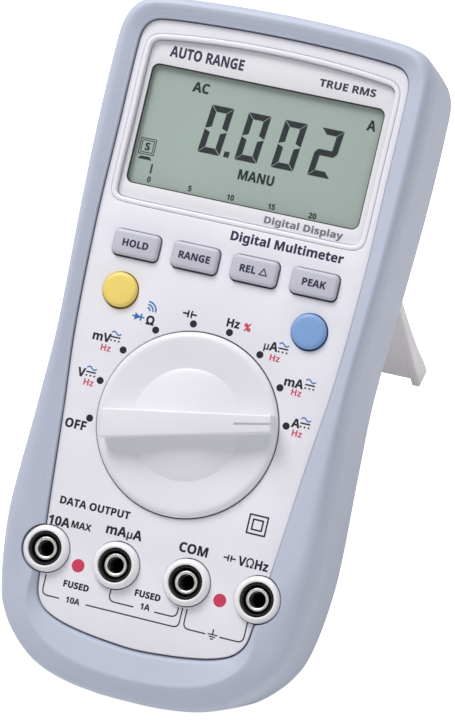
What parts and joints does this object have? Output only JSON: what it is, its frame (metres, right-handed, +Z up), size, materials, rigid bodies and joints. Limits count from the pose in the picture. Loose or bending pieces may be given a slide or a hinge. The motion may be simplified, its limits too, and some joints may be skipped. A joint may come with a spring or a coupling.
{
  "type": "digital multimeter",
  "caption": "Handheld digital multimeter in a rubber holster, leaning on its open tilt stand, with display, keys, rotary dial and input jacks.",
  "frame": {"origin": "centre of the bounding box's base, on the surface that the meter stands on", "axes": "+Z up; the face looks towards -Y and up; +X to the right of someone reading the display"},
  "size_m": [0.0848, 0.18, 0.1553],
  "materials": {
    "holster_rubber": "matte",
    "case_white": "satin",
    "collar_white": "satin",
    "stand_white": "satin",
    "knob_white": "satin",
    "label_white": "satin",
    "tray_white": "matte",
    "lens_clear": "gloss",
    "lcd_glass": "satin",
    "light_guide": "gloss",
    "elastomer": "matte",
    "board_green": "satin",
    "key_grey": "matte",
    "key_yellow": "matte",
    "key_blue": "matte",
    "plastic_black": "satin",
    "contact_metal": "satin",
    "steel": "satin",
    "fuse_ceramic": "satin",
    "battery_jacket": "satin",
    "lead_red": "satin",
    "port_filter": "gloss"
  },
  "bodies": {
    "meter": {"holster": "holster_rubber", "front_case": "case_white", "rear_case": "case_white", "battery_cover": "case_white", "display_lens": "lens_clear", "display_mask": "label_white", "lcd_cell": "lcd_glass", "lcd_tray": "tray_white", "light_guide": "light_guide", "elastomer_strip_lower": "elastomer", "elastomer_strip_upper": "elastomer", "key_membrane": "elastomer", "circuit_board": "board_green", "buzzer": "plastic_black", "measuring_chip": "plastic_black", "fuse_10a": "fuse_ceramic", "fuse_ma": "fuse_ceramic", "fuse_clip_1_left": "contact_metal", "fuse_clip_1_right": "contact_metal", "fuse_clip_2_left": "contact_metal", "fuse_clip_2_right": "contact_metal", "battery_9v": "battery_jacket", "battery_snap": "plastic_black", "battery_lead_plus": "lead_red", "battery_lead_minus": "plastic_black", "battery_cover_screw": "steel", "case_screw_upper_left": "steel", "case_screw_upper_right": "steel", "case_screw_lower_left": "steel", "case_screw_lower_right": "steel", "optical_port": "port_filter", "jack_collar_10a": "collar_white", "jack_liner_10a": "plastic_black", "jack_sleeve_10a": "contact_metal", "jack_collar_ma": "collar_white", "jack_liner_ma": "plastic_black", "jack_sleeve_ma": "contact_metal", "jack_collar_com": "collar_white", "jack_liner_com": "plastic_black", "jack_sleeve_com": "contact_metal", "jack_collar_volt": "collar_white", "jack_liner_volt": "plastic_black", "jack_sleeve_volt": "contact_metal"},
    "dial": {"dial_knob": "knob_white", "contact_rotor": "plastic_black", "wiper_spring_left": "contact_metal", "wiper_spring_right": "contact_metal", "detent_spring": "steel", "detent_ball": "steel"},
    "stand": {"tilt_stand": "stand_white"},
    "hold_key": {"key_hold": "key_grey"},
    "range_key": {"key_range": "key_grey"},
    "relative_key": {"key_relative": "key_grey"},
    "peak_key": {"key_peak": "key_grey"},
    "yellow_key": {"key_yellow": "key_yellow"},
    "blue_key": {"key_blue": "key_blue"}
  },
  "joints": [
    {"name": "dial_turn", "type": "hinge", "parent": "meter", "child": "dial", "pos_m": [0, -0.04088, 0.07679], "axis": [0, -0.7242, 0.6896], "range_deg": [0, 176.8]},
    {"name": "stand_fold", "type": "hinge", "parent": "meter", "child": "stand", "pos_m": [0, 0.03025, 0.09783], "axis": [1, 0, 0], "range_deg": [-71.5, 0]},
    {"name": "hold_press", "type": "slide", "parent": "meter", "child": "hold_key", "axis": [0, 0.7242, -0.6896], "range_m": [0, 0.001], "stiffness_N_per_m": 500, "springref_m": -0.0003},
    {"name": "range_press", "type": "slide", "parent": "meter", "child": "range_key", "axis": [0, 0.7242, -0.6896], "range_m": [0, 0.001], "stiffness_N_per_m": 500, "springref_m": -0.0003},
    {"name": "relative_press", "type": "slide", "parent": "meter", "child": "relative_key", "axis": [0, 0.7242, -0.6896], "range_m": [0, 0.001], "stiffness_N_per_m": 500, "springref_m": -0.0003},
    {"name": "peak_press", "type": "slide", "parent": "meter", "child": "peak_key", "axis": [0, 0.7242, -0.6896], "range_m": [0, 0.001], "stiffness_N_per_m": 500, "springref_m": -0.0003},
    {"name": "yellow_press", "type": "slide", "parent": "meter", "child": "yellow_key", "axis": [0, 0.7242, -0.6896], "range_m": [0, 0.001], "stiffness_N_per_m": 500, "springref_m": -0.0003},
    {"name": "blue_press", "type": "slide", "parent": "meter", "child": "blue_key", "axis": [0, 0.7242, -0.6896], "range_m": [0, 0.001], "stiffness_N_per_m": 500, "springref_m": -0.0003}
  ]
}
